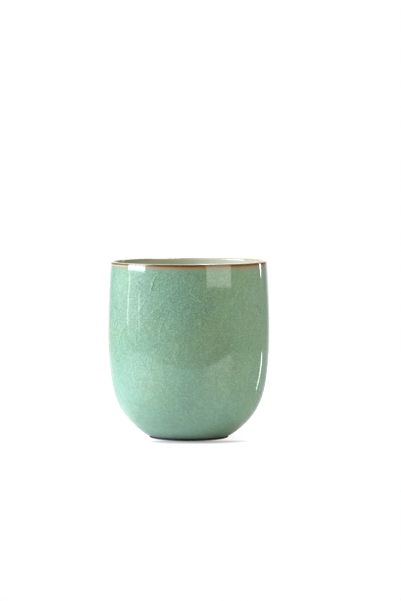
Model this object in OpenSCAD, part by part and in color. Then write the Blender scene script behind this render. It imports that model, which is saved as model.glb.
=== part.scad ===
// Brush holder pot: a thrown stoneware pot with celadon glaze inside and out,
// an iron-brown line round the lip and an iron-brown foot.
// Millimetres, +Z up. The origin is on the table, under the middle of the foot.
//
// The pot is one section turned about Z. The section's finished surface runs from the
// heel up the outside, over the lip and down the inside to the middle of the floor.
// The clay lies under it by the thickness of the coat, and each coat is the stretch
// of the section between the two.

/* [Pot] */
// Height from the table to the top of the lip
pot_h = 100; // [90:1:120]
// Height of the belly, where the pot is widest
belly_z = 59; // [52:1:68]
// Outside diameter at the belly
belly_d = 91; // [84:0.2:100]
// Outside diameter at the lip
rim_d = 87.8; // [80:0.2:92]

/* [Heel and foot] */
// Diameter at the heel, where the outside glaze ends
heel_d = 47.2; // [44:0.2:52]
// Height of the heel above the table
heel_z = 1.4; // [1:0.1:2]
// Share of the heel's inward turn that is even from the belly down
heel_even = 0.31; // [0.15:0.01:0.45]
// How late and how sharply the rest of the turn comes
heel_power = 5.25; // [3.5:0.05:6.5]
// Outside diameter of the foot ring
foot_d = 44.8; // [42:0.2:44.8]
// Width of the foot ring, with its two chamfers
foot_w = 3.4; // [3:0.1:4.5]
// Chamfer on both edges of the foot ring
foot_chamfer = 0.25; // [0.15:0.05:0.4]
// Depth of the hollow under the base
hollow_h = 2.2; // [2:0.1:3]

/* [Wall] */
// Thickness of the wall at the belly, glaze included
wall_t = 3.4; // [3:0.1:4.5]
// Thickness of the lip, which is fully round
lip_t = 1.9; // [1.6:0.1:2.4]
// Height of the floor inside, above the table
floor_z = 6.2; // [6:0.1:8]

/* [Glaze] */
// Thickness of the celadon glaze on the wall
glaze_t = 0.6; // [0.4:0.05:0.8]
// Thickness of the iron wash on the lip, where the glaze runs thin
lip_wash_t = 0.3; // [0.2:0.05:0.4]
// Depth below the lip over which the glaze gains its full thickness
thin_h = 8; // [4:1:15]
// Depth of the iron line below the top of the lip, outside
line_out = 2.1; // [1.5:0.1:3]
// Depth of the iron line below the top of the lip, inside
line_in = 1.4; // [1.3:0.1:2]
// Thickness of the iron wash on the foot
foot_wash_t = 0.2; // [0.1:0.05:0.3]
// Thickness of the glaze in the hollow under the base
base_glaze_t = 0.4; // [0.3:0.05:0.5]
// Height at which the base glaze stops above the table
base_glaze_z = 0.8; // [0.6:0.1:1.2]

/* [Hidden] */
$fn = 96;

belly_r = belly_d / 2;
rim_r = rim_d / 2;
heel_r = heel_d / 2;
foot_r = foot_d / 2;
lip_r = lip_t / 2;
lip_z = pot_h - lip_r;
inner_belly_r = belly_r - wall_t;
inner_rim_r = rim_r - lip_t;

// The well's floor is a superellipse: these are its powers along Z and along the radius.
well_power_z = 3.4;
well_power_r = 2.8;
// The hollow's side leans in by this much from the table to its ceiling.
hollow_lean = 0.6;

// Steps along each stretch of the section
heel_steps = 26;
shoulder_steps = 8;
line_steps = 2;
lip_steps = 12;
well_steps = 22;

function mix(a, b, share) = a + (b - a) * share;
function steps(n) = [for (i = [0 : n - 1]) i / n];
function part(list, first, last) = [for (i = [first : last]) list[i]];
function backwards(list) = [for (i = [len(list) - 1 : -1 : 0]) list[i]];

// Radius of the finished outside at height z
function heel_turn(share) = heel_even * pow(share, 2) + (1 - heel_even) * pow(share, heel_power);
function outer_r(z) = z > belly_z
    ? belly_r - (belly_r - rim_r) * pow((z - belly_z) / (lip_z - belly_z), 2)
    : belly_r - (belly_r - heel_r) * heel_turn((belly_z - z) / (belly_z - heel_z));

// Radius of the finished inside at height z, above the belly
function upper_well_r(z) =
    inner_belly_r - (inner_belly_r - inner_rim_r) * pow((z - belly_z) / (lip_z - belly_z), 2);

// The finished surface, in stretches that each leave out their last point
heel_curve = [for (s = steps(heel_steps))
    let (z = mix(heel_z, belly_z, s)) [outer_r(z), z]];
shoulder_curve = [for (s = steps(shoulder_steps))
    let (z = mix(belly_z, pot_h - line_out, s)) [outer_r(z), z]];
outer_line_curve = [for (s = steps(line_steps))
    let (z = mix(pot_h - line_out, lip_z, s)) [outer_r(z), z]];
lip_curve = [for (s = steps(lip_steps))
    [rim_r - lip_r + lip_r * cos(180 * s), lip_z + lip_r * sin(180 * s)]];
inner_line_curve = [for (s = steps(line_steps))
    let (z = mix(lip_z, pot_h - line_in, s)) [upper_well_r(z), z]];
well_curve = [for (s = steps(shoulder_steps))
    let (z = mix(pot_h - line_in, belly_z, s)) [upper_well_r(z), z]];
floor_curve = [for (s = steps(well_steps))
    [inner_belly_r * pow(cos(90 * s), 2 / well_power_r),
     belly_z - (belly_z - floor_z) * pow(sin(90 * s), 2 / well_power_z)]];
finished = concat(heel_curve, shoulder_curve, outer_line_curve, lip_curve,
                  inner_line_curve, well_curve, floor_curve, [[0, floor_z]]);

// Where the iron line starts and ends on the section, and where the section ends
line_first = heel_steps + shoulder_steps;
line_last = line_first + line_steps + lip_steps + line_steps;
section_last = len(finished) - 1;

// The clay surface, one coat under the finished one
function coat_t(z) = mix(lip_wash_t, glaze_t, min(1, (pot_h - z) / thin_h));
function heading(path, i) =
    let (step = i == section_last ? [-1, 0] : path[i + 1] - path[max(i - 1, 0)]) step / norm(step);
clay = [for (i = [0 : section_last])
    let (h = heading(finished, i)) finished[i] + coat_t(finished[i][1]) * [-h[1], h[0]]];

// The clay under the foot's iron wash: its side, its inner corner and the glaze's edge
heel_slope = (clay[1][1] - clay[0][1]) / (clay[1][0] - clay[0][0]);
foot_clay_r = foot_r - foot_wash_t;
corner_z = clay[0][1] - (clay[0][0] - foot_clay_r) * heel_slope;
glaze_edge = (finished[0] - clay[0]) / norm(finished[0] - clay[0]);
wash_top = clay[0] + foot_wash_t * glaze_edge;
wash_corner_z = wash_top[1] - (wash_top[0] - foot_r) * heel_slope;

// The clay of the hollow, from the foot ring's inner edge to the middle of the base
hollow_r = foot_r - foot_w;
hollow_ceiling = hollow_h + base_glaze_t;
function hollow_side_r(z) = hollow_r - hollow_lean * z / hollow_ceiling;

module turned(outline) {
    rotate_extrude() polygon(outline);
}

// One coat: the section between the finished surface and the clay
module coat(first, last) {
    turned(concat(part(finished, first, last), backwards(part(clay, first, last))));
}

module stoneware_body() {
    color("gainsboro") turned(concat(clay, [
        [0, hollow_ceiling],
        [hollow_side_r(hollow_ceiling), hollow_ceiling],
        [hollow_side_r(base_glaze_z), base_glaze_z],
        [hollow_r, foot_chamfer],
        [hollow_r + foot_chamfer, 0],
        [foot_clay_r - foot_chamfer, 0],
        [foot_clay_r, foot_chamfer],
        [foot_clay_r, corner_z]
    ]));
}

module outer_glaze() {
    color("darkseagreen") coat(0, line_first);
}

module inner_glaze() {
    color("darkseagreen") coat(line_last, section_last);
}

module rim_wash() {
    color("saddlebrown") coat(line_first, line_last);
}

module foot_wash() {
    color([0.2, 0.15, 0.12]) turned([
        [foot_clay_r, foot_chamfer],
        [foot_r, foot_chamfer + foot_wash_t],
        [foot_r, wash_corner_z],
        wash_top,
        clay[0],
        [foot_clay_r, corner_z]
    ]);
}

module base_glaze() {
    color("darkseagreen") turned([
        [0, hollow_h],
        [hollow_side_r(hollow_h) - base_glaze_t, hollow_h],
        [hollow_side_r(base_glaze_z) - base_glaze_t, base_glaze_z + base_glaze_t],
        [hollow_side_r(base_glaze_z), base_glaze_z],
        [hollow_side_r(hollow_ceiling), hollow_ceiling],
        [0, hollow_ceiling]
    ]);
}

stoneware_body();
outer_glaze();
inner_glaze();
rim_wash();
foot_wash();
base_glaze();
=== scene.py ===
"""Brush holder pot: the pieces, materials, table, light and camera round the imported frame.

The section, in millimetres, repeats the formulas of part.scad. Every piece is that section
turned about Z as a closed solid, with the small unevenness of a thrown pot.
"""
import math

import bpy
import numpy as np
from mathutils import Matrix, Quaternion, Vector


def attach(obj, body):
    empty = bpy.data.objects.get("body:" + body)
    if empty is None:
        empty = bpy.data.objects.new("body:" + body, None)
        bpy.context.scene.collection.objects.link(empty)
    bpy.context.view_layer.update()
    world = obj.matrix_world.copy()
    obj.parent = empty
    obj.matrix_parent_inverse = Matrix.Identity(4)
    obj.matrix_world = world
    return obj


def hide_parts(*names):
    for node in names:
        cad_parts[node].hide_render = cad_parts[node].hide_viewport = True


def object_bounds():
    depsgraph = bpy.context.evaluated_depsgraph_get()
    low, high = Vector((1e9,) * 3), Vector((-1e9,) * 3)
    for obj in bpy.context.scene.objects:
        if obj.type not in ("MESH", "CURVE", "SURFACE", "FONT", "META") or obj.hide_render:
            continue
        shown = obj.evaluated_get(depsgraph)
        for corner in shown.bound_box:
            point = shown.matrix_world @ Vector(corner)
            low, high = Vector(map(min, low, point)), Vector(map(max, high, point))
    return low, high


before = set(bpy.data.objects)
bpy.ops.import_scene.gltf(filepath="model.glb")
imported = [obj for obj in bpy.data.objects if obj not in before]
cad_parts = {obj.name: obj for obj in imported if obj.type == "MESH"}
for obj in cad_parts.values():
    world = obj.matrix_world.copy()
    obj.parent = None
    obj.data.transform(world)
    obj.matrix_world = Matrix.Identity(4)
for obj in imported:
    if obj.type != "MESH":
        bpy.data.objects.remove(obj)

cad_low, cad_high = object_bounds()

MM = 0.001

# The finished section
POT_H = 100.0
BELLY_Z = 59.0
BELLY_R = 45.5
RIM_R = 43.9
HEEL_Z = 1.4
HEEL_R = 23.6
HEEL_EVEN = 0.31
HEEL_POWER = 5.25
LIP_R = 0.95
LIP_Z = POT_H - LIP_R
INNER_BELLY_R = 42.1
INNER_RIM_R = RIM_R - 2 * LIP_R
FLOOR_Z = 6.2
WELL_POWER_Z = 3.4
WELL_POWER_R = 2.8

# The coats on it
GLAZE_T = 0.6
WASH_T = 0.3
THIN_H = 8.0
LINE_OUT = 2.1
LINE_IN = 1.4

# The foot and the hollow inside it
FOOT_R = 22.4
FOOT_CLAY_R = 22.2
FOOT_WASH_T = 0.2
EDGE = 0.25
HOLLOW_R = 19.0
HOLLOW_LEAN = 0.6
HOLLOW_Z = 2.2
CEILING_Z = 2.6
BASE_GLAZE_T = 0.4
BASE_GLAZE_Z = 0.8

# The mesh: segments round the pot, from angle 0 at -Y towards +X, and the spacing of its rings
SEGMENTS = 256
ANGLES = np.linspace(-np.pi, np.pi, SEGMENTS + 1)
RING = 1.25
HIDDEN_RING = 3.0
LIP_RING = 0.16

# The glaze's roll above the foot: its length, and its start and bulge as shares of the coat
ROLL = 1.3
ROLL_START = 0.36
ROLL_BULGE = 0.10

UV_UNIT = 100.0
ON_AXIS = 1e-6
SHARP_EDGE = math.radians(35)

SEED = 7


# ------------------------------------------------------------------ section


def outer_radius(z):
    """Radius of the finished outside at height z."""
    share = np.clip((BELLY_Z - z) / (BELLY_Z - HEEL_Z), 0, 1)
    turn = HEEL_EVEN * share**2 + (1 - HEEL_EVEN) * share**HEEL_POWER
    above = ((z - BELLY_Z) / (LIP_Z - BELLY_Z)) ** 2
    return np.where(z > BELLY_Z, BELLY_R - (BELLY_R - RIM_R) * above, BELLY_R - (BELLY_R - HEEL_R) * turn)


def well_radius(z):
    """Radius of the finished inside at height z, above the belly."""
    return INNER_BELLY_R - (INNER_BELLY_R - INNER_RIM_R) * ((z - BELLY_Z) / (LIP_Z - BELLY_Z)) ** 2


def finished_section():
    """The finished surface as close points, from the heel over the lip to the middle of the floor."""
    up = np.linspace(HEEL_Z, LIP_Z, 1600)
    turn = np.linspace(0, np.pi, 80)[1:-1]
    down = np.linspace(LIP_Z, BELLY_Z, 500)
    bend = np.sin(np.linspace(0, np.pi / 2, 1400)[1:-1]) ** 2 * np.pi / 2
    return np.concatenate([
        np.column_stack([outer_radius(up), up]),
        np.column_stack([RIM_R - LIP_R + LIP_R * np.cos(turn), LIP_Z + LIP_R * np.sin(turn)]),
        np.column_stack([well_radius(down), down]),
        np.column_stack([
            INNER_BELLY_R * np.cos(bend) ** (2 / WELL_POWER_R),
            BELLY_Z - (BELLY_Z - FLOOR_Z) * np.sin(bend) ** (2 / WELL_POWER_Z),
        ]),
        [[0.0, FLOOR_Z]],
    ])


finished = finished_section()
heading = np.gradient(finished, axis=0)
heading[-1] = (-1, 0)
heading /= np.linalg.norm(heading, axis=1)[:, None]
coat = WASH_T + (GLAZE_T - WASH_T) * np.clip((POT_H - finished[:, 1]) / THIN_H, 0, 1)
clay = finished + coat[:, None] * np.column_stack([-heading[:, 1], heading[:, 0]])
clay[-1, 0] = 0.0

steps = np.linalg.norm(np.diff(finished, axis=0), axis=1)
length = np.concatenate([[0], np.cumsum(steps)])

# Height on the pattern: it grows as the girth shrinks, so that the crackle keeps its shape.
girth = np.maximum(finished[:, 0], 12.0)
pattern = np.concatenate([[0], np.cumsum(steps * BELLY_R * 2 / (girth[1:] + girth[:-1]))])

TOP = int(np.argmax(finished[:, 1]))
END = len(finished) - 1
LINE_FIRST = int(np.searchsorted(finished[:TOP, 1], POT_H - LINE_OUT))
LINE_LAST = TOP + int(np.argmax(finished[TOP:, 1] < POT_H - LINE_IN))
ROLL_END = int(np.searchsorted(length, ROLL))


def stations(first, last, spacing):
    """Places along the section from first to last, evenly spaced over the finished surface."""
    count = max(2, int(round((length[last] - length[first]) / spacing)) + 1)
    picked = np.searchsorted(length, np.linspace(length[first], length[last], count))
    return np.unique(np.clip(picked, first, last))


def surface(first, last, spacing):
    """A stretch of the finished surface as (radius, height, pattern height)."""
    at = stations(first, last, spacing)
    return np.column_stack([finished[at], pattern[at]])


def under(first, last, spacing):
    """The same stretch of the clay under the coat, backwards."""
    at = stations(first, last, spacing)[::-1]
    return np.column_stack([clay[at], pattern[at]])


def flat_pattern(points):
    """Section points that wear no crackle."""
    return np.array([(r, z, 0.0) for r, z in points])


def softened(a, corner, b, count):
    """Points that round a corner off between a and b."""
    a, corner, b = (np.array(p, float) for p in (a, corner, b))
    return [tuple((1 - s) ** 2 * a + 2 * s * (1 - s) * corner + s * s * b) for s in np.linspace(0, 1, count)]


# ------------------------------------------------------------------ unevenness


# Low waves that throwing leaves on the wall: lobes round the pot, wavelength up the wall, height
THROWING_WAVES = [
    (2, 400, 0.070),
    (3, 260, 0.030),
    (4, 120, 0.009),
    (5, 80, 0.006),
    (6, 60, 0.0045),
    (7, 48, 0.0035),
    (8, 40, 0.0025),
    (9, 34, 0.002),
]
SPIRAL_PITCH = 7.3
SPIRAL_HEIGHT = 0.0006

# The foot is turned true, and the unevenness grows in between these heights
STEADY_Z = (1.8, 14.0)

# The lip's own rise towards +X, its waves as lobes, height and phase, and its dip at the back
LIP_RISE = 0.16
LIP_WAVES = [(2, 0.05, 0.9), (3, 0.03, -1.1)]
DIP_DEPTH = 0.36
DIP_ANGLE = math.radians(165)
DIP_POWER = 6


def wandering_waves():
    """Each wave twice, climbing either way: lobes, turn per millimetre of height, phase, height."""
    rng = np.random.default_rng(SEED)
    rows = []
    for lobes, wavelength, height in THROWING_WAVES:
        for way in (-1, 1):
            climb = way * 2 * math.pi / (wavelength * rng.uniform(0.8, 1.25))
            phase = rng.uniform(0, 2 * math.pi)
            rows.append((lobes, climb, phase, height * rng.uniform(0.7, 1.2)))
    return rows


WAVES = wandering_waves()


def rise(low, high, x):
    """0 below low, 1 above high, smooth between."""
    share = np.clip((x - low) / (high - low), 0, 1)
    return share * share * (3 - 2 * share)


def uneven(angle, z):
    """How far the wall stands proud of the true section."""
    total = SPIRAL_HEIGHT * np.cos(2 * np.pi * z / SPIRAL_PITCH - angle)
    for lobes, climb, phase, height in WAVES:
        total = total + height * np.cos(lobes * angle + climb * z + phase)
    return total * rise(*STEADY_Z, z)


def lift(angle, z):
    """How far the lip stands above its true height: higher on the +X side, with a dip at the back."""
    waves = sum(height * np.cos(lobes * angle + phase) for lobes, height, phase in LIP_WAVES)
    dip = DIP_DEPTH * np.clip(np.cos(angle - DIP_ANGLE), 0, 1) ** DIP_POWER
    return (LIP_RISE * np.sin(angle) + waves - dip) * rise(BELLY_Z, POT_H, z)


# ------------------------------------------------------------------ pieces


def ring_points(radius, z):
    """One ring of a turned surface in metres, or its single point on the axis."""
    if radius < ON_AXIS:
        return [(0.0, 0.0, z * MM)]
    around = ANGLES[:-1]
    swell = radius + uneven(around, z) * radius / BELLY_R
    height = z + lift(around, z)
    return np.column_stack([swell * np.sin(around), -swell * np.cos(around), height]) * MM


def band(low, high, low_v, high_v):
    """The faces between two rings, and each corner's place on the unrolled wall."""
    faces, uvs = [], []
    around = ANGLES * BELLY_R / UV_UNIT
    for j in range(SEGMENTS):
        k = (j + 1) % SEGMENTS
        left, right = around[j], around[j + 1]
        middle = (left + right) / 2
        if len(low) == 1:
            faces.append((low[0], high[k], high[j]))
            uvs.extend([(middle, low_v), (right, high_v), (left, high_v)])
        elif len(high) == 1:
            faces.append((low[j], low[k], high[0]))
            uvs.extend([(left, low_v), (right, low_v), (middle, high_v)])
        else:
            faces.append((low[j], low[k], high[k], high[j]))
            uvs.extend([(left, low_v), (right, low_v), (right, high_v), (left, high_v)])
    return faces, uvs


def turned(name, outline):
    """A closed outline of (radius, height, pattern height) turned about Z, as one closed mesh.

    The outline runs with its solid on the left.
    """
    points, faces, uvs, rings = [], [], [], []
    for radius, z, _ in outline:
        ring = ring_points(radius, z)
        rings.append(range(len(points), len(points) + len(ring)))
        points.extend(ring)
    for a in range(len(outline)):
        b = (a + 1) % len(outline)
        if len(rings[a]) == 1 and len(rings[b]) == 1:
            continue
        more_faces, more_uvs = band(rings[a], rings[b], outline[a][2] / UV_UNIT, outline[b][2] / UV_UNIT)
        faces.extend(more_faces)
        uvs.extend(more_uvs)
    mesh = bpy.data.meshes.new(name)
    mesh.from_pydata([tuple(point) for point in points], [], faces)
    layer = mesh.uv_layers.new(name="glaze")
    layer.data.foreach_set("uv", np.array(uvs, np.float32).ravel())
    mesh.shade_smooth()
    mesh.set_sharp_from_angle(angle=SHARP_EDGE)
    mesh.validate()
    obj = bpy.data.objects.new(name, mesh)
    bpy.context.scene.collection.objects.link(obj)
    return obj


def finish_piece(obj, material, node):
    """Gives a piece its material, hides the CAD node it stands for and attaches it to the body it rides on.
    """
    obj.data.materials.append(material)
    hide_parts(node)
    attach(obj, "root")


def outside_outline():
    """The glaze from the heel to the iron line, with a rounded roll where it ends above the foot."""
    to_heel = finished[0] - clay[0]
    start = clay[0] + ROLL_START * to_heel
    bulge = finished[0] + ROLL_BULGE * to_heel
    roll = softened(start, bulge, finished[ROLL_END], 8)[:-1]
    roll_pattern = np.linspace(pattern[0], pattern[ROLL_END], len(roll), endpoint=False)
    return np.concatenate([
        np.column_stack([roll, roll_pattern]),
        surface(ROLL_END, LINE_FIRST, RING),
        under(0, LINE_FIRST, HIDDEN_RING),
    ])


def inside_outline():
    """The glaze from the iron line down the well to the middle of the floor."""
    return np.concatenate([surface(LINE_LAST, END, RING), under(LINE_LAST, END, HIDDEN_RING)])


def rim_outline():
    """The iron wash over the lip."""
    return np.concatenate([
        surface(LINE_FIRST, LINE_LAST, LIP_RING),
        under(LINE_FIRST, LINE_LAST, LIP_RING),
    ])


heel_slope = heading[0, 1] / heading[0, 0]
glaze_edge = (finished[0] - clay[0]) / np.linalg.norm(finished[0] - clay[0])
wash_top = clay[0] + FOOT_WASH_T * glaze_edge
clay_corner = (FOOT_CLAY_R, clay[0, 1] - (clay[0, 0] - FOOT_CLAY_R) * heel_slope)
wash_corner = (FOOT_R, wash_top[1] - (wash_top[0] - FOOT_R) * heel_slope)


def hollow_side(z):
    """Radius of the hollow's clay side at height z."""
    return HOLLOW_R - HOLLOW_LEAN * z / CEILING_Z


def stoneware_outline():
    """The clay under the coats, its foot ring and the hollow."""
    body = np.concatenate([
        under(0, LINE_FIRST, HIDDEN_RING)[::-1],
        under(LINE_FIRST, LINE_LAST, LIP_RING)[::-1][1:],
        under(LINE_LAST, END, HIDDEN_RING)[::-1][1:],
    ])
    foot = [(0, CEILING_Z), (hollow_side(CEILING_Z), CEILING_Z), (hollow_side(BASE_GLAZE_Z), BASE_GLAZE_Z)]
    foot += softened((hollow_side(0.5), 0.5), (HOLLOW_R, 0), (HOLLOW_R + 0.45, 0), 6)
    foot += softened((FOOT_CLAY_R - EDGE, 0), (FOOT_CLAY_R - 0.04, 0.04), (FOOT_CLAY_R, EDGE), 5)
    foot += [clay_corner]
    return np.concatenate([body, flat_pattern(foot)])


def foot_wash_outline():
    """The iron wash on the outside of the foot ring."""
    side = [(FOOT_CLAY_R, EDGE)]
    side += softened((FOOT_CLAY_R + 0.05, EDGE + 0.02), (FOOT_R, EDGE + 0.04), (FOOT_R, EDGE + 0.3), 5)
    corner = np.array(wash_corner)
    side += softened((FOOT_R, corner[1] - 0.15), corner, corner + 0.3 * (wash_top - corner), 4)
    side += [tuple(wash_top), tuple(clay[0]), clay_corner]
    return flat_pattern(side)


def base_glaze_outline():
    """The glaze in the hollow, with a thick rounded meniscus in its corner."""
    inner = hollow_side(HOLLOW_Z) - BASE_GLAZE_T
    low_edge = (hollow_side(BASE_GLAZE_Z), BASE_GLAZE_Z)
    side = [(0, CEILING_Z), (0, HOLLOW_Z)]
    side += [(r, HOLLOW_Z) for r in np.linspace(3, inner - 1.6, 8)]
    side += softened((inner - 0.8, HOLLOW_Z), (inner, HOLLOW_Z), (inner + 0.05, HOLLOW_Z - 0.55), 6)
    side += softened((inner + 0.1, BASE_GLAZE_Z + BASE_GLAZE_T), (inner + 0.15, BASE_GLAZE_Z), low_edge, 5)
    side += [(hollow_side(CEILING_Z), CEILING_Z)]
    return flat_pattern(side)


# ------------------------------------------------------------------ node graphs


class Graph:
    """A node tree, built from its inputs to its output. A value may be a number, a tuple or a socket."""

    def __init__(self, tree):
        self.tree = tree
        tree.nodes.clear()

    def feed(self, socket, value):
        """Links a socket or sets its value."""
        if isinstance(value, bpy.types.NodeSocket):
            self.tree.links.new(value, socket)
        elif socket.type == "RGBA":
            socket.default_value = (*value[:3], 1.0)
        else:
            socket.default_value = value

    def node(self, kind, inputs, **settings):
        """Adds a node."""
        made = self.tree.nodes.new("ShaderNode" + kind)
        for name, value in settings.items():
            setattr(made, name, value)
        for key, value in inputs.items():
            self.feed(made.inputs[key], value)
        return made

    def math(self, operation, *values):
        """One arithmetic step."""
        return self.node("Math", dict(enumerate(values)), operation=operation).outputs[0]

    def add(self, *values):
        """A sum."""
        total = values[0]
        for value in values[1:]:
            total = self.math("ADD", total, value)
        return total

    def times(self, *values):
        """A product."""
        total = values[0]
        for value in values[1:]:
            total = self.math("MULTIPLY", total, value)
        return total

    def vector(self, operation, *values, scale=None):
        """One vector step."""
        inputs = dict(enumerate(values))
        if scale is not None:
            inputs["Scale"] = scale
        return self.node("VectorMath", inputs, operation=operation).outputs[0]

    def ramp(self, value, low, high, start=0.0, end=1.0):
        """A smooth step from start at low to end at high."""
        inputs = {"Value": value, "From Min": low, "From Max": high, "To Min": start, "To Max": end}
        return self.node("MapRange", inputs, interpolation_type="SMOOTHSTEP").outputs[0]

    def mix(self, share, first, second):
        """A colour between first and second."""
        made = self.node("Mix", {0: share, 6: first, 7: second}, data_type="RGBA")
        return made.outputs[2]

    def noise(self, place, size, detail=2.0, rough=0.5):
        """Noise about 0 whose grain is size millimetres, from -0.5 to 0.5."""
        inputs = {"Vector": place, "Scale": 1 / size, "Detail": detail, "Roughness": rough}
        return self.math("SUBTRACT", self.node("TexNoise", inputs).outputs[0], 0.5)

    def stir(self, place, size, reach):
        """A vector that wanders by reach millimetres over size millimetres."""
        made = self.node("TexNoise", {"Vector": place, "Scale": 1 / size, "Detail": 2.0})
        centred = self.vector("SUBTRACT", made.outputs[1], (0.5, 0.5, 0.5))
        return self.vector("SCALE", centred, scale=2 * reach)

    def shifted(self, place, offset):
        """The same place in another part of the noise."""
        return self.vector("ADD", place, offset)


def new_material(name):
    """An empty node material and its graph."""
    material = bpy.data.materials.new(name)
    material.use_nodes = True
    return material, Graph(material.node_tree)


def principled(graph, colour, roughness, normal, **settings):
    """The shader and the material's output."""
    inputs = {"Base Color": colour, "Roughness": roughness, "Normal": normal, **settings}
    shader = graph.node("BsdfPrincipled", inputs)
    graph.node("OutputMaterial", {"Surface": shader.outputs[0]})


def object_place(graph):
    """The point on the object, in millimetres, and its height."""
    spot = graph.node("TexCoord", {}).outputs["Object"]
    place = graph.vector("SCALE", spot, scale=1 / MM)
    return place, graph.node("SeparateXYZ", {0: place}).outputs[2]


def bump(graph, height):
    """A normal from a height in millimetres."""
    return graph.node("Bump", {"Strength": 1.0, "Distance": MM, "Height": height}).outputs[0]


def from_axis(graph, place):
    """The distance from the pot's axis."""
    across_it = graph.vector("MULTIPLY", place, (1.0, 1.0, 0.0))
    return graph.node("VectorMath", {0: across_it}, operation="LENGTH").outputs["Value"]


# ------------------------------------------------------------------ celadon

CELADON = (0.183, 0.302, 0.208)
CRACK_DARK = (0.080, 0.158, 0.106)
CELADON_POOL_AND_SHADE = (0.052, 0.140, 0.088)
CELADON_BLUE = (0.180, 0.294, 0.232)
CELADON_OLIVE = (0.205, 0.290, 0.168)
CRACK_PALE_AND_REFLECTION = (0.36, 0.51, 0.40)
STAIN_TAN = (0.270, 0.195, 0.110)
STAIN_GREY = (0.235, 0.240, 0.165)
THIN_GLAZE_AND_HIGHLIGHT = (0.450, 0.415, 0.325)
THIN_GLAZE_SHADE = (0.225, 0.240, 0.160)

# The unrolled wall's half width, the lean of the long cracks and the cells of each kind of crack
SEAM_HALF = math.pi * BELLY_R
LONG_LEAN = 0.012
LONG_ACROSS = 12.5
LONG_ALONG = 24.0
SHORT_ACROSS = 4.6
SHORT_ALONG = 6.2
FINE_ACROSS = 1.5
FINE_ALONG = 1.8
PALE_THREAD_AT = (0.55, 0.30, 0.0)

# Half width and soft edge of each kind of crack, in millimetres, and how strongly it shows
LONG_DARK = (0.12, 0.36, 0.50)
SHORT_DARK = (0.06, 0.26, 0.35)
FINE_DARK = (0.05, 0.20, 0.56)
LONG_PALE = (0.16, 0.55, 0.34)
SHORT_PALE = (0.08, 0.34, 0.16)
LONG_GROOVE = (0.04, 0.20, -0.0012)

FLOOR_RING_R = 27.0
NO_SEAM = 99.0
GLAZE_IOR = 1.5


def wall_flat(graph):
    """The unrolled wall, in millimetres, and the distance to the long crack that hides its seam."""
    spot = graph.node("UVMap", {}, uv_map="glaze").outputs[0]
    parts = graph.node("SeparateXYZ", {0: graph.vector("SCALE", spot, scale=UV_UNIT)})
    round_it, up_it = parts.outputs[0], parts.outputs[1]
    spine = graph.node("CombineXYZ", {1: up_it}).outputs[0]
    sway = graph.add(graph.times(graph.noise(spine, 34.0), 26.0), graph.times(graph.noise(spine, 7.0), 4.0))
    turned_by = graph.math("WRAP", graph.add(round_it, sway), SEAM_HALF, -SEAM_HALF)
    seam = graph.math("SUBTRACT", SEAM_HALF, graph.math("ABSOLUTE", turned_by))
    flat = graph.node("CombineXYZ", {0: turned_by, 1: up_it}).outputs[0]
    return flat, seam


def crack_cells(graph, flat, across, along, parent, key):
    """One generation of cracks: the distance to the nearest in millimetres, and the cell's own colour."""
    small = graph.vector("MULTIPLY", flat, (1 / across, 1 / along, 0.0))
    moved = graph.vector("ADD", small, (key * 3.7, key * 9.1, 0.0))
    if parent is not None:
        moved = graph.vector("ADD", moved, graph.vector("SCALE", parent, scale=37.0))
    edge = graph.node("TexVoronoi", {"Vector": moved, "Scale": 1.0},
                      voronoi_dimensions="2D", feature="DISTANCE_TO_EDGE")
    cell = graph.node("TexVoronoi", {"Vector": moved, "Scale": 1.0}, voronoi_dimensions="2D", feature="F1")
    return graph.times(edge.outputs["Distance"], across), cell.outputs["Color"]


def channel(graph, colour, index):
    """One channel of a cell's colour, from -0.5 to 0.5."""
    return graph.math("SUBTRACT", graph.node("SeparateColor", {0: colour}).outputs[index], 0.5)


def crack_line(graph, distance, kind, open_share):
    """A crack's strength on the crack where it is open, 0 off it."""
    half_width, soft, strength = kind
    return graph.times(graph.ramp(distance, half_width, half_width + soft, 1.0, 0.0), open_share, strength)


def patches(graph, place, offset, size, least):
    """A share that is 1 where cracks are open and least where they are closed."""
    return graph.ramp(graph.noise(graph.shifted(place, offset), size), -0.10, 0.14, least, 1.0)


def bowed(graph, flat):
    """The wall leaned over for the long cracks: to the right above the belly, to the left below it."""
    parts = graph.node("SeparateXYZ", {0: flat})
    above = graph.math("SUBTRACT", parts.outputs[1], BELLY_Z)
    lean = graph.times(above, above, -LONG_LEAN)
    return graph.vector("ADD", flat, graph.node("CombineXYZ", {0: lean}).outputs[0])


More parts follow.
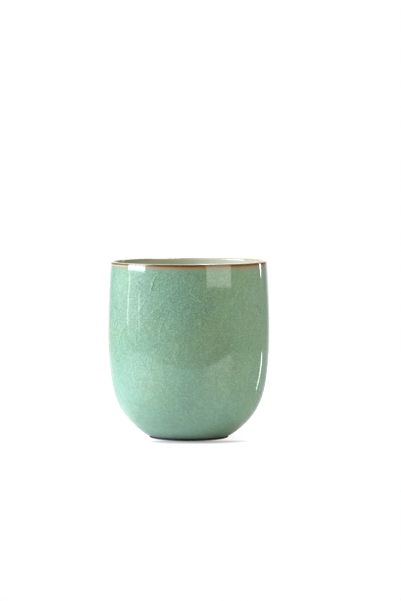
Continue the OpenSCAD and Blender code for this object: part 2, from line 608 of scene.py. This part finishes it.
def crackle(graph, flat, place, height, seam):
    """Three generations of cracks, each inside the cells of the one before.

    A crack leans into the glaze, so it shows as a dark thread with a pale one beside it. The pale thread is
    partly the crack's own paleness and partly a painted reflection of light off the leaning crack.
    Returns the darkening, the paleness, the cells' own tones and the grooves.
    """
    flat = graph.vector("ADD", flat, graph.stir(place, 22.0, 2.4))
    flat = graph.vector("ADD", flat, graph.stir(place, 4.0, 0.35))
    leaning = bowed(graph, flat)
    beside = graph.vector("ADD", leaning, PALE_THREAD_AT)
    d1, c1 = crack_cells(graph, leaning, LONG_ACROSS, LONG_ALONG, None, 1)
    d1 = graph.math("MINIMUM", d1, seam)
    p1, _ = crack_cells(graph, beside, LONG_ACROSS, LONG_ALONG, None, 1)
    d2, c2 = crack_cells(graph, leaning, SHORT_ACROSS, SHORT_ALONG, c1, 2)
    p2, _ = crack_cells(graph, beside, SHORT_ACROSS, SHORT_ALONG, c1, 2)
    d3, c3 = crack_cells(graph, flat, FINE_ACROSS, FINE_ALONG, graph.vector("ADD", c1, c2), 3)

    # The long cracks open in patches and show strongest on the -X side, painted light for the window's light
    # that they catch; they are fainter at the far left, towards the back and low down. The fine ones are
    # most open towards the lip.
    along, across, _ = graph.node("SeparateXYZ", {0: place}).outputs
    long_open_and_lit = graph.times(
        patches(graph, place, (10, 0, 30), 24.0, 0.45),
        graph.ramp(across, -6.0, 16.0, 1.0, 0.62),
        graph.ramp(height, 8.0, 50.0, 0.45, 1.0),
        graph.ramp(along, -26.0, -2.0, 1.5, 0.6),
        graph.ramp(along, -45.0, -34.0, 0.5, 1.0),
    )
    short_open = patches(graph, place, (0, 70, 0), 18.0, 0.20)
    fine_open = graph.times(
        patches(graph, place, (0, 30, 60), 40.0, 0.60),
        graph.ramp(height, 20.0, 62.0, 0.60, 1.0),
    )
    dark = graph.add(
        crack_line(graph, d1, LONG_DARK, long_open_and_lit),
        crack_line(graph, d2, SHORT_DARK, short_open),
        crack_line(graph, d3, FINE_DARK, fine_open),
    )
    pale = graph.add(
        crack_line(graph, p1, LONG_PALE, long_open_and_lit),
        crack_line(graph, p2, SHORT_PALE, short_open),
    )
    tones = graph.add(
        graph.times(channel(graph, c1, 1), 0.05),
        graph.times(channel(graph, c2, 1), 0.03),
        graph.times(channel(graph, c3, 1), 0.20),
    )
    return dark, pale, tones, crack_line(graph, d1, LONG_GROOVE, long_open_and_lit)


def iron_and_shade_side(graph, along):
    """A share from 0 on the -X side of the lip to 1 towards +X. Outside it makes the iron weaker and paler
    on the -X side. Inside it sets painted shade on the -X side, which faces away from the window.
    """
    return graph.ramp(along, -44.0, -6.0)


def over_floor(graph, place, flat, seam):
    """The unrolled wall, which gives way to the floor's own plane inside a ring that a crack hides."""
    ring = graph.add(from_axis(graph, place), graph.times(graph.noise(place, 18.0), 14.0))
    on_floor = graph.math("LESS_THAN", ring, FLOOR_RING_R)
    flat = graph.node("Mix", {0: on_floor, 4: flat, 5: place}, data_type="VECTOR").outputs[1]
    to_ring = graph.math("ABSOLUTE", graph.math("SUBTRACT", ring, FLOOR_RING_R))
    seam_off = graph.add(seam, graph.times(on_floor, NO_SEAM))
    return flat, graph.math("MINIMUM", seam_off, to_ring)


def glaze_colour(graph, place, height, tones, kind):
    """Celadon that drifts towards olive and blue, and outside darker at the heel: partly glaze pooling,
    partly painted shade.
    """
    tone = graph.add(
        1.0,
        tones,
        graph.times(graph.noise(place, 26.0, 3.0), 0.10),
        graph.times(graph.noise(place, 6.0, 3.0), 0.06),
        graph.times(graph.noise(place, 0.7, 2.0, 0.6), 0.40),
    )
    olive = graph.ramp(graph.noise(graph.shifted(place, (0, 0, 200)), 34.0, 2.0), -0.12, 0.16)
    blue = graph.ramp(graph.noise(graph.shifted(place, (0, 0, 400)), 22.0, 2.0), -0.05, 0.18)
    colour = graph.mix(graph.times(olive, 0.45), CELADON, CELADON_OLIVE)
    colour = graph.mix(graph.times(blue, 0.45), colour, CELADON_BLUE)
    if kind == "outside":
        # Partly glaze pooling and partly painted shade: the glaze darkens towards the heel, below 6 mm.
        uneven_height = graph.add(height, graph.times(graph.noise(place, 9.0), 4.0))
        colour = graph.mix(graph.ramp(uneven_height, 1.0, 6.0, 0.90, 0.0), colour, CELADON_POOL_AND_SHADE)
    return graph.vector("SCALE", colour, scale=tone)


def near_lip(graph, colour, place, height, kind):
    """Outside, the lip's iron runs a little way into the glaze. Inside, the glaze is thin there and pale,
    with painted shade on the -X side and a painted highlight towards +X.
    """
    line_z = POT_H - (LINE_OUT if kind == "outside" else LINE_IN)
    ragged = graph.add(graph.times(graph.noise(place, 7.0, 3.0), 1.6),
                       graph.times(graph.noise(place, 1.1, 2.0), 0.5))
    depth = graph.add(graph.math("SUBTRACT", line_z, height), ragged)
    along = graph.node("SeparateXYZ", {0: place}).outputs[0]
    if kind == "inside":
        # Painted light: the thin glaze is shaded on the -X side and pale with a highlight towards +X.
        thin = graph.mix(iron_and_shade_side(graph, along), THIN_GLAZE_SHADE, THIN_GLAZE_AND_HIGHLIGHT)
        return graph.mix(graph.ramp(depth, 0.5, 10.0, 0.95, 0.0), colour, thin)
    strength = graph.add(0.5, graph.times(iron_and_shade_side(graph, along), 0.5))
    grey = graph.times(graph.ramp(depth, 0.4, 3.6, 0.85, 0.0), strength)
    tan = graph.times(graph.ramp(depth, 0.1, 1.3, 1.0, 0.0), strength)
    return graph.mix(tan, graph.mix(grey, colour, STAIN_GREY), STAIN_TAN)


def celadon(name, kind):
    """Grey-green crackle glaze. kind is outside, inside or base."""
    material, graph = new_material(name)
    place, height = object_place(graph)
    if kind == "base":
        flat, seam = place, NO_SEAM
    else:
        flat, seam = wall_flat(graph)
    if kind == "inside":
        flat, seam = over_floor(graph, place, flat, seam)
    dark, pale, tones, grooves = crackle(graph, flat, place, height, seam)
    colour = glaze_colour(graph, place, height, tones, kind)
    # Pale threads beside the cracks: partly their own paleness, partly a painted reflection.
    colour = graph.mix(pale, colour, CRACK_PALE_AND_REFLECTION)
    colour = graph.mix(dark, colour, CRACK_DARK)
    if kind != "base":
        colour = near_lip(graph, colour, place, height, kind)
    skin = graph.add(graph.times(graph.noise(place, 6.0, 2.0), 0.0011),
                     graph.times(graph.noise(place, 1.6, 1.0), 0.0004), grooves)
    roughness = graph.add(0.055, graph.times(graph.noise(place, 11.0), 0.02))
    principled(graph, colour, roughness, bump(graph, skin), IOR=GLAZE_IOR)
    return material


# ------------------------------------------------------------------ iron and clay

CREST = (0.40, 0.325, 0.195)
CREST_BROWN = (0.30, 0.215, 0.115)
CREST_SHADE = (0.105, 0.100, 0.080)
IRON = (0.066, 0.033, 0.011)
IRON_LIGHT = (0.082, 0.058, 0.027)
INNER_LIP = (0.46, 0.40, 0.31)
INNER_LIP_SHADE = (0.20, 0.175, 0.135)
FRINGE = (0.27, 0.145, 0.055)
FRINGE_PALE = (0.38, 0.32, 0.21)
FOOT_IRON = (0.008, 0.007, 0.006)
FOOT_IRON_BROWN = (0.024, 0.014, 0.009)
FOOT_RUBBED = (0.110, 0.058, 0.030)
CLAY = (0.44, 0.345, 0.25)
CLAY_DARK = (0.36, 0.27, 0.19)
CLAY_TOASTED = (0.30, 0.155, 0.085)
CLAY_GRIT = (0.12, 0.085, 0.06)
GRIT_SPACING = 0.8
TURNING_PITCH = 0.42


def iron_rim():
    """The lip: a cream crest with painted shade at the back, then outside a dark line and an orange fringe.
    """
    material, graph = new_material("iron_rim_wash")
    place, height = object_place(graph)
    along, across, _ = graph.node("SeparateXYZ", {0: place}).outputs
    outside = graph.ramp(from_axis(graph, place), RIM_R - 1.3 * LIP_R, RIM_R - 0.7 * LIP_R)
    ragged = graph.add(graph.times(graph.noise(place, 8.0, 3.0), 0.45),
                       graph.times(graph.noise(place, 1.0, 2.0), 0.25))
    depth = graph.add(graph.math("SUBTRACT", POT_H, height), ragged)
    dirt = graph.ramp(graph.noise(graph.shifted(place, (90, 0, 0)), 3.0, 4.0, 0.65), -0.02, 0.2)
    crest = graph.mix(graph.times(dirt, 0.4), CREST, CREST_BROWN)
    # Painted shade: the crest darkens towards the back, less towards +X.
    painted_back_shade = graph.times(graph.ramp(across, 4.0, 30.0, 0.0, 0.9), graph.ramp(along, -2.0, 14.0, 1.0, 0.35))
    crest = graph.mix(painted_back_shade, crest, CREST_SHADE)
    strength = graph.ramp(graph.noise(graph.shifted(place, (0, 40, 0)), 14.0), -0.12, 0.12, 0.5, 1.0)
    side_share = iron_and_shade_side(graph, along)
    # Painted shade: the inside of the lip is darker on the -X side.
    inner = graph.mix(graph.ramp(depth, 0.35, 1.1), crest, graph.mix(side_share, INNER_LIP_SHADE, INNER_LIP))
    iron = graph.mix(graph.times(strength, side_share), IRON_LIGHT, IRON)
    fringe = graph.mix(side_share, FRINGE_PALE, FRINGE)
    wide_crest = graph.times(graph.math("SUBTRACT", side_share, 1.0), 0.26)
    outer = graph.mix(graph.ramp(graph.add(depth, wide_crest), 0.15, 0.47), crest, iron)
    outer = graph.mix(graph.ramp(depth, 1.20, 1.60), outer, fringe)
    outer = graph.mix(graph.ramp(depth, 1.85, 2.25), outer, graph.mix(side_share, FRINGE_PALE, STAIN_TAN))
    colour = graph.mix(outside, inner, outer)
    fleck = graph.noise(place, 0.5, 2.0, 0.6)
    colour = graph.vector("SCALE", colour, scale=graph.add(1.0, graph.times(fleck, 0.35)))
    skin = graph.add(graph.times(graph.noise(place, 3.0, 2.0), 0.008),
                     graph.times(graph.noise(place, 0.7, 1.0), 0.002))
    roughness = graph.add(0.09, graph.times(fleck, 0.04))
    principled(graph, colour, roughness, bump(graph, skin), IOR=GLAZE_IOR)
    return material


def iron_foot():
    """The foot's wash: nearly black, satin, rubbed brown at its edges."""
    material, graph = new_material("iron_foot_wash")
    place, height = object_place(graph)
    cloud = graph.ramp(graph.noise(place, 5.0, 4.0, 0.6), -0.1, 0.2)
    colour = graph.mix(cloud, FOOT_IRON, FOOT_IRON_BROWN)
    uneven_height = graph.add(height, graph.times(graph.noise(place, 1.2, 3.0, 0.65), 0.5))
    rub = graph.ramp(uneven_height, 0.28, 0.50, 1.0, 0.0)
    colour = graph.mix(graph.times(rub, 0.5), colour, FOOT_RUBBED)
    roughness = graph.add(0.55, graph.times(cloud, 0.12), graph.times(rub, 0.12))
    skin = graph.add(graph.times(graph.noise(place, 0.5, 3.0, 0.6), 0.03),
                     graph.times(graph.noise(place, 2.5, 2.0), 0.03))
    principled(graph, colour, roughness, bump(graph, skin), IOR=GLAZE_IOR)
    return material


def bare_stoneware():
    """Fired clay: buff, toasted where it meets the glaze, with grit and the marks of turning."""
    material, graph = new_material("stoneware_clay")
    place, height = object_place(graph)
    cloud = graph.ramp(graph.noise(place, 6.0, 4.0, 0.6), -0.15, 0.18)
    colour = graph.mix(cloud, CLAY, CLAY_DARK)
    toast = graph.ramp(height, 0.05, 0.6)
    colour = graph.mix(graph.times(toast, 0.6), colour, CLAY_TOASTED)
    speck = graph.node("TexVoronoi", {"Vector": place, "Scale": 1 / GRIT_SPACING}, voronoi_dimensions="3D")
    dot = graph.ramp(speck.outputs["Distance"], 0.10, 0.22, 1.0, 0.0)
    colour = graph.mix(graph.times(dot, 0.5), colour, CLAY_GRIT)
    grain = graph.noise(place, 0.35, 3.0, 0.65)
    colour = graph.vector("SCALE", colour, scale=graph.add(1.0, graph.times(grain, 0.3)))
    turning = graph.math("SINE", graph.times(from_axis(graph, place), 2 * math.pi / TURNING_PITCH))
    skin = graph.add(graph.times(grain, 0.05), graph.times(turning, 0.008))
    roughness = graph.add(0.82, graph.times(grain, 0.12))
    principled(graph, colour, roughness, bump(graph, skin))
    return material


# ------------------------------------------------------------------ table, light and camera

DAYLIGHT = (0.85, 1.0, 1.20)
SUNLIGHT = (1.10, 1.0, 0.92)
WHITE = (1.0, 1.0, 1.0)

TABLE_LOW = (-0.43, -0.225)
TABLE_HIGH = (0.40, 0.60)
TABLE_GLOW = 0.96
TABLE_MATT = (0.24, 0.23, 0.24)
LACQUER = (0.80, 0.80, 0.80)
LACQUER_PALE = (0.83, 0.83, 0.83)
CONTACT_REACH = 0.020


def white_lacquer():
    """The table's surface: pale, matt and glowing to the camera, and lacquered in what the pot mirrors.

    The lacquer's colour is darkened far to the left, to the right and behind the pot: painted shade where
    less light falls.
    """
    material, graph = new_material("white_lacquer")
    place, _ = object_place(graph)
    along, across, _ = graph.node("SeparateXYZ", {0: place}).outputs
    cloud = graph.ramp(graph.noise(place, 60.0, 2.0), -0.2, 0.2)
    # Painted shade: the lacquer darkens far to the left, to the right and behind the pot.
    painted_lacquer_shade = graph.times(
        graph.ramp(along, -430.0, -130.0, 0.35, 1.0),
        graph.ramp(across, 0.0, 90.0, 1.0, 0.6),
        graph.ramp(along, 10.0, 80.0, 1.0, 0.82),
    )
    lacquer = graph.node("BsdfPrincipled", {
        "Base Color": graph.vector("SCALE", graph.mix(cloud, LACQUER, LACQUER_PALE), scale=painted_lacquer_shade),
        "Roughness": graph.ramp(along, -60.0, 20.0, 0.6, 0.04),
        "Normal": bump(graph, graph.times(graph.noise(place, 12.0, 2.0), 0.01)),
        "IOR": 1.5,
    })
    # Painted contact shadow: the glow is cut where the pot shuts off the open air over the table, mostly in
    # front of it.
    open_air = graph.node("AmbientOcclusion", {"Distance": CONTACT_REACH}, samples=8).outputs["AO"]
    shade = graph.times(
        graph.ramp(open_air, 0.20, 0.82, 1.0, 0.0),
        graph.ramp(across, -24.0, -14.0, 0.76, 0.10),
        graph.ramp(along, -30.0, -14.0, 0.15, 1.0),
    )
    level = graph.times(graph.math("SUBTRACT", 1.0, shade), TABLE_GLOW)
    glow = graph.node("Emission", {"Color": WHITE, "Strength": level})
    matt = graph.node("BsdfDiffuse", {"Color": TABLE_MATT})
    floor = graph.node("AddShader", {0: matt.outputs[0], 1: glow.outputs[0]})
    seen = graph.node("LightPath", {}).outputs["Is Camera Ray"]
    both = graph.node("MixShader", {0: seen, 1: lacquer.outputs[0], 2: floor.outputs[0]})
    graph.node("OutputMaterial", {"Surface": both.outputs[0]})
    return material


def make_table():
    """A white table top: a thin sheet, so that no edge shows against the white beyond it."""
    (x0, y0), (x1, y1) = TABLE_LOW, TABLE_HIGH
    mesh = bpy.data.meshes.new("table_top")
    mesh.from_pydata([(x0, y0, 0), (x1, y0, 0), (x1, y1, 0), (x0, y1, 0)], [], [(0, 1, 2, 3)])
    mesh.materials.append(white_lacquer())
    table = bpy.data.objects.new("table_top", mesh)
    bpy.context.scene.collection.objects.link(table)


def aimed(azimuth, distance, height):
    """A point at an azimuth from -Y towards +X, in degrees, and a distance from the pot's axis."""
    turn = math.radians(azimuth)
    return Vector((distance * math.sin(turn), -distance * math.cos(turn), height))


def lamp(name, at, look_at, width, height, radiance, colour, lean=0.0):
    """A plain area lamp of a given radiance that only shows in light and reflections."""
    light = bpy.data.lights.new(name, "AREA")
    light.shape = "RECTANGLE"
    light.size = width
    light.size_y = height
    light.energy = radiance * math.pi * width * height
    light.color = colour
    obj = bpy.data.objects.new(name, light)
    obj.location = at
    facing = (look_at - at).to_track_quat("-Z", "Y")
    obj.rotation_euler = (facing @ Quaternion((0, 0, 1), math.radians(lean))).to_euler()
    obj.visible_camera = False
    bpy.context.scene.collection.objects.link(obj)


def upright_lamp(name, ends, heights, radiance, colour, lean):
    """A vertical lamp between two ends, each an azimuth and a distance, that faces the pot's side of itself.

    A lamp that leans has its top turned towards a smaller azimuth by that many degrees.
    """
    first, last = (aimed(azimuth, distance, sum(heights) / 2) for azimuth, distance in ends)
    centre = (first + last) / 2
    facing = Vector((first.y - last.y, last.x - first.x, 0))
    if facing.dot(centre) > 0:
        facing.negate()
    size = ((last - first).length, heights[1] - heights[0])
    lamp(name, centre, centre + facing, *size, radiance, colour, lean)


# What the pot sees round it: azimuth from -Y towards +X, and colour
ROOM = [
    (-135, (0.43, 0.41, 0.40)),
    (-90, (2.00, 1.65, 1.60)),
    (45, (0.58, 0.62, 0.12)),
    (90, (0.78, 0.70, 0.46)),
    (135, (0.46, 0.38, 0.40)),
]
BACKDROP = (1.05, 1.00, 1.12)
CEILING = (0.66, 0.86, 0.80)
BELOW_TABLE = (0.46, 0.12, 0.02)
BESIDE_TABLE = (0.46, 0.44, 0.38)

# Where each gives way to the next: degrees from -Y for two of them, and steepness from -1 to 1
BESIDE_EDGE = (35.0, 75.0)
BACKDROP_EDGE = (144.0, 168.0)
BACKDROP_TOP = (0.80, 0.95)
CEILING_EDGE = (0.50, 0.70)
FLOOR_EDGE = (-0.12, -0.02)


def make_world():
    """White to the camera. To every other ray a dim room with a narrow white backdrop behind the pot."""
    world = bpy.data.worlds.new("studio")
    bpy.context.scene.world = world
    world.use_nodes = True
    graph = Graph(world.node_tree)
    way = graph.node("SeparateXYZ", {0: graph.node("TexCoord", {}).outputs["Generated"]})
    along, back, up = way.outputs
    azimuth = graph.math("ARCTAN2", along, graph.times(back, -1.0))
    room = (0.0, 0.0, 0.0)
    for degrees, colour in ROOM:
        off = graph.math("SUBTRACT", azimuth, math.radians(degrees))
        off = graph.math("ABSOLUTE", graph.math("WRAP", off, math.pi, -math.pi))
        share = graph.math("MAXIMUM", graph.math("SUBTRACT", 1.0, graph.times(off, 4 / math.pi)), 0.0)
        room = graph.vector("ADD", room, graph.vector("SCALE", colour, scale=share))
    room = graph.mix(graph.ramp(up, *CEILING_EDGE), room, CEILING)
    aside = graph.math("ABSOLUTE", azimuth)
    floor = graph.mix(graph.ramp(aside, *np.radians(BESIDE_EDGE)), BELOW_TABLE, BESIDE_TABLE)
    room = graph.mix(graph.ramp(up, *FLOOR_EDGE, 1.0, 0.0), room, floor)
    behind = graph.ramp(aside, *np.radians(BACKDROP_EDGE))
    room = graph.mix(graph.times(behind, graph.ramp(up, *BACKDROP_TOP, 1.0, 0.0)), room, BACKDROP)
    room = graph.node("Background", {"Color": room, "Strength": 1.0})
    white = graph.node("Background", {"Color": WHITE, "Strength": 1.0})
    seen = graph.node("LightPath", {}).outputs["Is Camera Ray"]
    both = graph.node("MixShader", {0: seen, 1: room.outputs[0], 2: white.outputs[0]})
    graph.node("OutputWorld", {"Surface": both.outputs[0]})


# Upright lamps: name, two ends as azimuth and distance, lowest and highest point, radiance, colour, lean
UPRIGHT_LAMPS = [
    ("window", [(-98.5, 1.72), (-65.0, 1.0)], (0.177, 1.3), 16.7, DAYLIGHT, -0.8),
    ("far_window", [(24.4, 1.0), (62.5, 1.41)], (0.141, 0.85), 3.3, WHITE, 0.0),
    ("strip", [(125.4, 1.35), (128.4, 1.35)], (0.092, 0.38), 17.0, WHITE, 25.0),
    ("curtain_gap", [(-95.7, 1.0), (-93.1, 1.0)], (0.015, 0.138), 4.2, WHITE, -16.0),
    ("sill_gap", [(-75.2, 1.0), (-72.0, 1.0)], (0.007, 0.106), 3.4, WHITE, 0.0),
]

# Lamps turned to the pot: name, place, the point that they face, width, height, radiance, colour
TURNED_LAMPS = [
    ("high_window", (0.18, 0.86, 0.92), (0, 0, 0.1), 0.33, 0.75, 5.0, SUNLIGHT),
    ("transom", (0.105, 0.80, 1.0), (0, 0, 0.1), 0.10, 0.30, 36.0, SUNLIGHT),
    ("top", (0.10, 0.20, 1.5), (0, 0.05, 0.0), 1.2, 1.2, 0.6, WHITE),
]


def make_lights():
    """Windows at the left, the front right and high behind, a strip at the back right and a top light."""
    for name, ends, heights, radiance, colour, lean in UPRIGHT_LAMPS:
        upright_lamp(name, ends, heights, radiance, colour, lean)
    for name, at, look_at, width, height, radiance, colour in TURNED_LAMPS:
        lamp(name, Vector(at), Vector(look_at), width, height, radiance, colour)


CAMERA_AT = (0.0066, -1.49, 0.166)
CAMERA_DOWN = 3.397
CAMERA_LENS = 158.0


def make_camera():
    """A long lens a little above the lip, in front of the pot."""
    data = bpy.data.cameras.new("camera")
    data.lens = CAMERA_LENS
    data.sensor_width = 36.0
    data.clip_start = 0.05
    data.clip_end = 20.0
    camera = bpy.data.objects.new("camera", data)
    middle = (cad_low + cad_high) / 2
    camera.location = (middle.x + CAMERA_AT[0], middle.y + CAMERA_AT[1], cad_low.z + CAMERA_AT[2])
    camera.rotation_euler = (math.radians(90 - CAMERA_DOWN), 0.0, 0.0)
    bpy.context.scene.collection.objects.link(camera)
    bpy.context.scene.camera = camera


# ------------------------------------------------------------------ making

make_camera()

finish_piece(turned("stoneware", stoneware_outline()), bare_stoneware(), "stoneware_body")
finish_piece(turned("celadon_outside", outside_outline()), celadon("celadon_outer", "outside"),
             "outer_glaze")
finish_piece(turned("celadon_inside", inside_outline()), celadon("celadon_inner", "inside"),
             "inner_glaze")
finish_piece(turned("iron_rim", rim_outline()), iron_rim(), "rim_wash")
finish_piece(turned("iron_foot", foot_wash_outline()), iron_foot(), "foot_wash")
finish_piece(turned("celadon_base", base_glaze_outline()), celadon("celadon_under", "base"),
             "base_glaze")

make_table()
make_world()
make_lights()
bpy.context.scene.view_settings.view_transform = "Standard"
bpy.context.scene.view_settings.look = "None"
